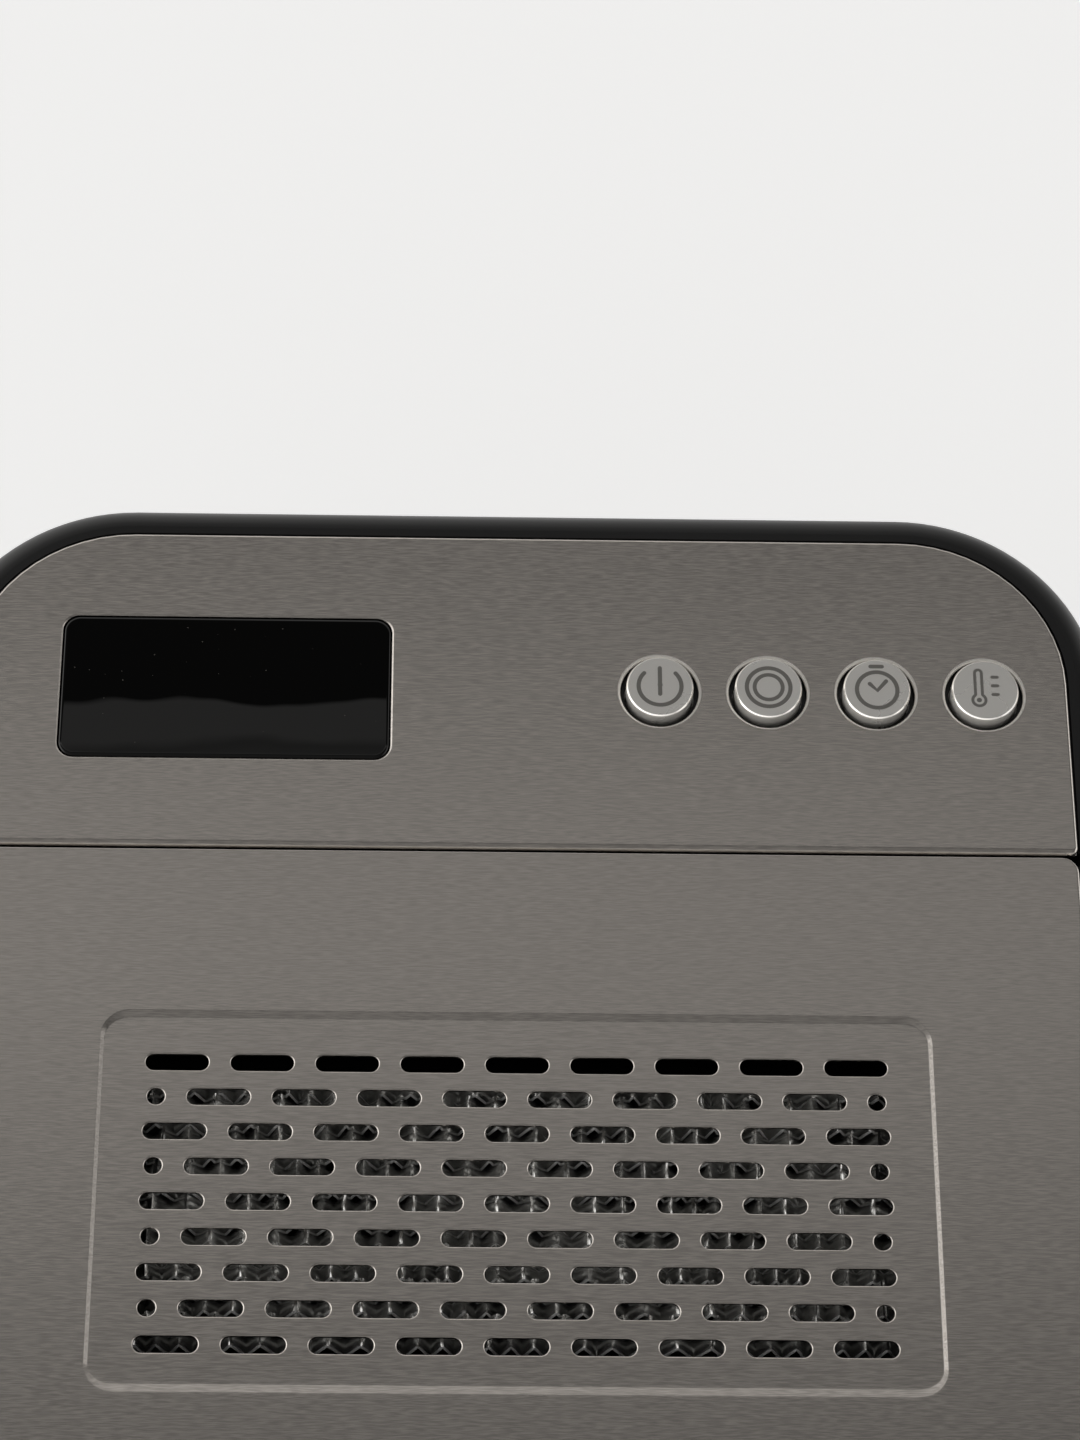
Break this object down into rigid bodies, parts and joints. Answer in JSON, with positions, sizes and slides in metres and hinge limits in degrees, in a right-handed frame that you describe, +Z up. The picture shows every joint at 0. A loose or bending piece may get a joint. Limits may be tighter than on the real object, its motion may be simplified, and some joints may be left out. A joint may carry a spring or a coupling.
{
  "type": "filament dryer box",
  "caption": "Heated box for drying filament spools, with a hinged vented steel lid, a steel control strip with push buttons and a display, and rollers in a fan-heated chamber.",
  "frame": {"origin": "middle of the box on the surface that its feet stand on", "axes": "+X to the right as seen by someone at the front, +Y from the front to the back, +Z up"},
  "size_m": [0.248, 0.268, 0.2604],
  "materials": {
    "black_plastic": "moulded black plastic with a fine satin texture",
    "brushed_steel": "steel sheet brushed from side to side",
    "button_metal": "fine satin metal with printed grey signs",
    "lens_black": "polished black display window",
    "filter_alloy": "bright expanded aluminium",
    "liner_grey": "heat-resistant grey moulding",
    "seal_rubber": "soft grey silicone",
    "foot_rubber": "matt black rubber",
    "zinc_steel": "zinc-plated steel",
    "roller_grey": "turned grey plastic",
    "bush_white": "white slippery plastic",
    "duct_alloy": "plain aluminium sheet",
    "heater_ceramic": "pale insulating ceramic",
    "board_green": "green circuit board",
    "component_dark": "dark moulded components"
  },
  "bodies": {
    "cabinet": {"base_pan": "black_plastic", "feet": "foot_rubber", "base_screws": "zinc_steel", "outer_body": "black_plastic", "rear_cover": "black_plastic", "rear_cover_screws": "zinc_steel", "power_socket": "component_dark", "chamber_liner": "liner_grey", "mouth_frame": "black_plastic", "mouth_frame_screws": "zinc_steel", "lid_gasket": "seal_rubber", "control_housing": "black_plastic", "control_housing_screws": "zinc_steel", "control_panel": "brushed_steel", "display_lens": "lens_black", "display_module": "component_dark", "control_board": "board_green", "control_board_screws": "zinc_steel", "tact_switches": "component_dark", "driver_board": "board_green", "driver_parts": "component_dark", "driver_standoffs": "zinc_steel", "air_duct": "duct_alloy", "duct_screws": "zinc_steel", "heater_end_caps": "heater_ceramic", "heater_bars": "duct_alloy", "heater_fins": "duct_alloy", "thermal_cutout": "heater_ceramic", "fan_frame": "black_plastic", "fan_screws": "zinc_steel", "sensor_board": "board_green", "axle_posts": "component_dark", "roller_axles": "zinc_steel", "roller_bearings": "zinc_steel", "outlet_plate": "black_plastic", "outlet_bushes": "bush_white", "outlet_nuts": "zinc_steel"},
    "lid": {"lid_frame": "black_plastic", "lid_grip": "black_plastic", "lid_skin": "brushed_steel", "lid_inner_panel": "liner_grey", "filter_tray": "black_plastic", "vent_filter": "filter_alloy", "tray_screws": "zinc_steel", "lid_screws": "zinc_steel", "hinge_pins": "zinc_steel"},
    "fan": {"fan_rotor": "black_plastic"},
    "front_left_roller": {"roller_front_left": "roller_grey"},
    "front_right_roller": {"roller_front_right": "roller_grey"},
    "rear_left_roller": {"roller_rear_left": "roller_grey"},
    "rear_right_roller": {"roller_rear_right": "roller_grey"},
    "power_button": {"button_power": "button_metal"},
    "spool_button": {"button_spool": "button_metal"},
    "timer_button": {"button_timer": "button_metal"},
    "temperature_button": {"button_temperature": "button_metal"}
  },
  "joints": [
    {"name": "lid_hinge", "type": "hinge", "parent": "cabinet", "child": "lid", "pos_m": [0, 0.0425, 0.2535], "axis": [-1, 0, 0], "range_deg": [0, 100]},
    {"name": "fan_spin", "type": "hinge", "parent": "cabinet", "child": "fan", "pos_m": [0, 0.078, 0.078], "axis": [0, 1, 0], "continuous": true},
    {"name": "front_left_spin", "type": "hinge", "parent": "cabinet", "child": "front_left_roller", "pos_m": [-0.062, -0.08363, 0.037], "axis": [0, 1, 0], "continuous": true},
    {"name": "front_right_spin", "type": "hinge", "parent": "cabinet", "child": "front_right_roller", "pos_m": [0.062, -0.08363, 0.037], "axis": [0, 1, 0], "continuous": true},
    {"name": "rear_left_spin", "type": "hinge", "parent": "cabinet", "child": "rear_left_roller", "pos_m": [-0.062, -0.01188, 0.037], "axis": [0, 1, 0], "continuous": true},
    {"name": "rear_right_spin", "type": "hinge", "parent": "cabinet", "child": "rear_right_roller", "pos_m": [0.062, -0.01188, 0.037], "axis": [0, 1, 0], "continuous": true},
    {"name": "power_press", "type": "slide", "parent": "cabinet", "child": "power_button", "axis": [0, 0, -1], "range_m": [0, 0.0012], "stiffness_N_per_m": 800, "springref_m": -0.0005},
    {"name": "spool_press", "type": "slide", "parent": "cabinet", "child": "spool_button", "axis": [0, 0, -1], "range_m": [0, 0.0012], "stiffness_N_per_m": 800, "springref_m": -0.0005},
    {"name": "timer_press", "type": "slide", "parent": "cabinet", "child": "timer_button", "axis": [0, 0, -1], "range_m": [0, 0.0012], "stiffness_N_per_m": 800, "springref_m": -0.0005},
    {"name": "temperature_press", "type": "slide", "parent": "cabinet", "child": "temperature_button", "axis": [0, 0, -1], "range_m": [0, 0.0012], "stiffness_N_per_m": 800, "springref_m": -0.0005}
  ]
}
